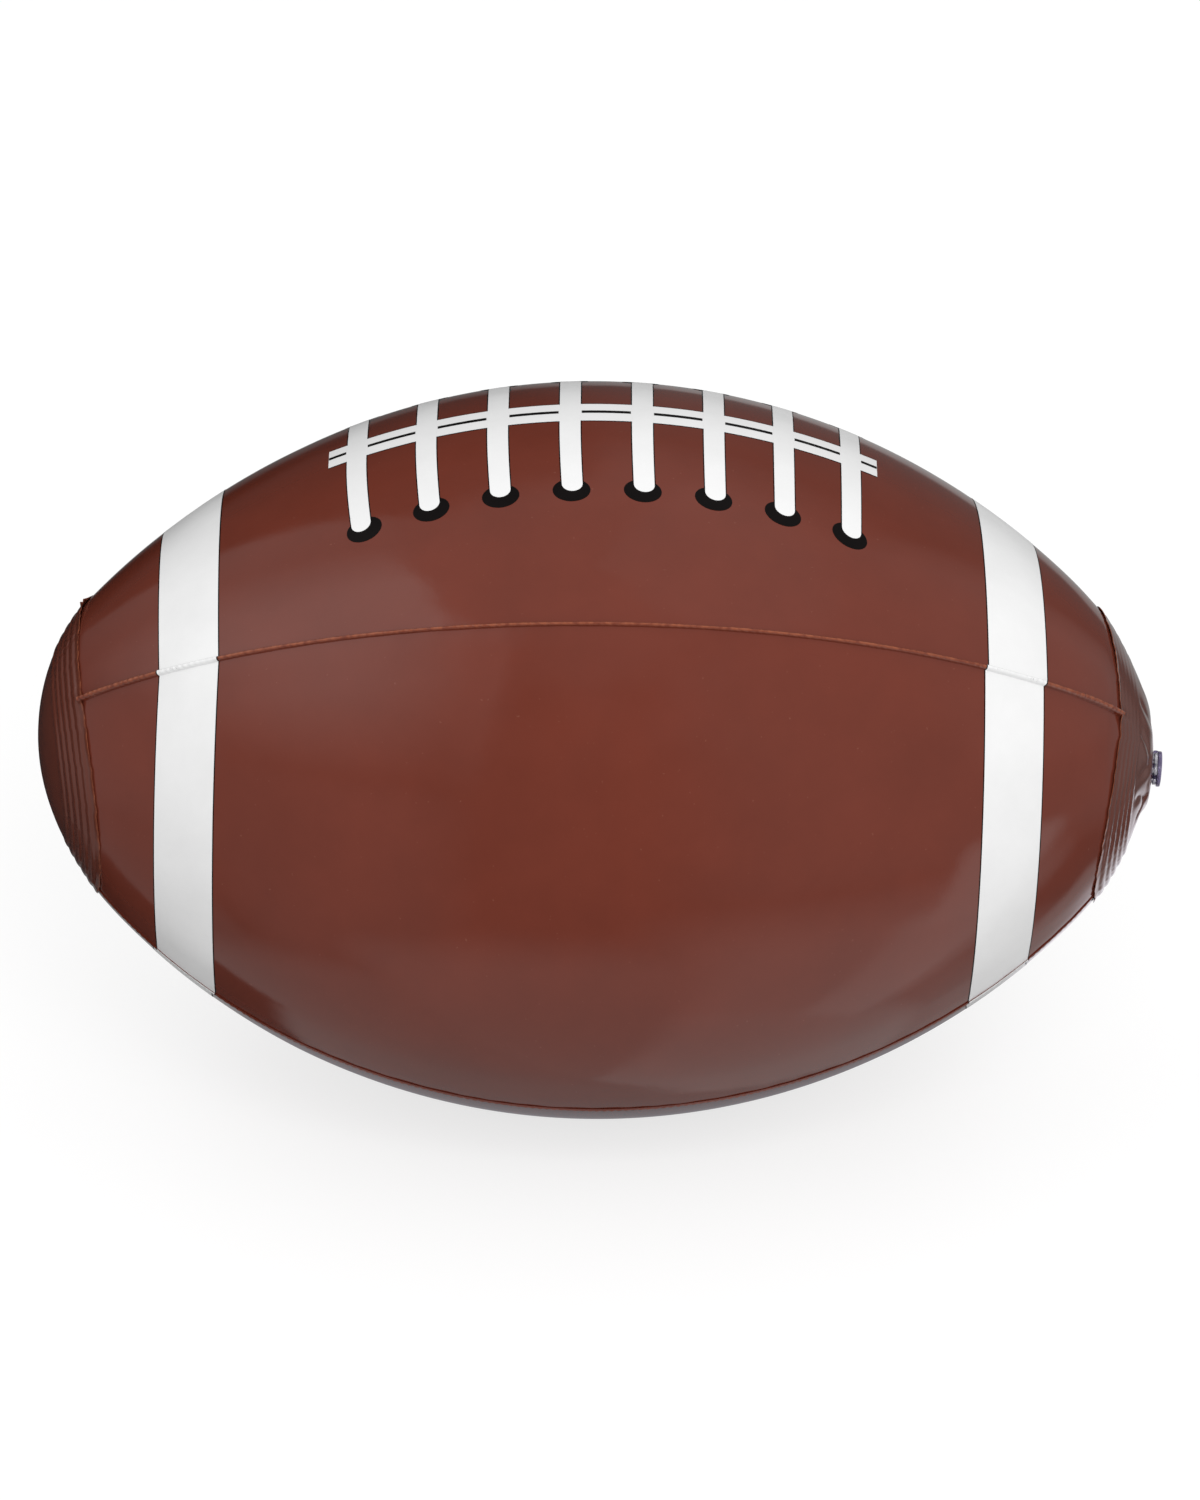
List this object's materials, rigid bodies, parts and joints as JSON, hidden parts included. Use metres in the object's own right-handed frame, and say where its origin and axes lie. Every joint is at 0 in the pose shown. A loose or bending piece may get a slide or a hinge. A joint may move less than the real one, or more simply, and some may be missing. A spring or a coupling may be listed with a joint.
{
  "type": "inflatable toy football",
  "caption": "Inflated vinyl toy football: four welded panels, ribbed round end caps, printed laces and stripes, and a push-in blow-up valve.",
  "frame": {"origin": "middle of the ball: centre of its long axis, half-way between the two cap tops", "axes": "+X along the long axis to the valve end, +Z out through the middle of the lace panel, -Y to the front panel"},
  "size_m": [0.4032, 0.261, 0.261],
  "materials": {
    "brown_vinyl": "gloss",
    "white_print": "gloss",
    "black_print": "gloss",
    "clear_vinyl": "gloss"
  },
  "bodies": {
    "ball": {"lace_panel": "brown_vinyl", "front_panel": "brown_vinyl", "bottom_panel": "brown_vinyl", "rear_panel": "brown_vinyl", "left_end_cap": "brown_vinyl", "right_end_cap": "brown_vinyl", "valve_flange": "clear_vinyl", "valve_diaphragm": "clear_vinyl"},
    "valve_tube": {"valve_stem": "clear_vinyl", "stopper_strap": "clear_vinyl"},
    "flap": {"check_flap": "clear_vinyl"},
    "stopper": {"stopper": "clear_vinyl"}
  },
  "joints": [
    {"name": "valve_push", "type": "slide", "parent": "ball", "child": "valve_tube", "axis": [0.9972, 0, -0.0745], "range_m": [0, 0.0089], "deforming": ["valve_diaphragm"]},
    {"name": "flap_swing", "type": "hinge", "parent": "valve_tube", "child": "flap", "pos_m": [0.18809, 0, -0.00001], "axis": [0, 1, 0], "range_deg": [0, 60]},
    {"name": "stopper_pull", "type": "slide", "parent": "valve_tube", "child": "stopper", "axis": [0.9972, 0, -0.0745], "range_m": [0, 0.01], "deforming": ["stopper_strap"]}
  ]
}
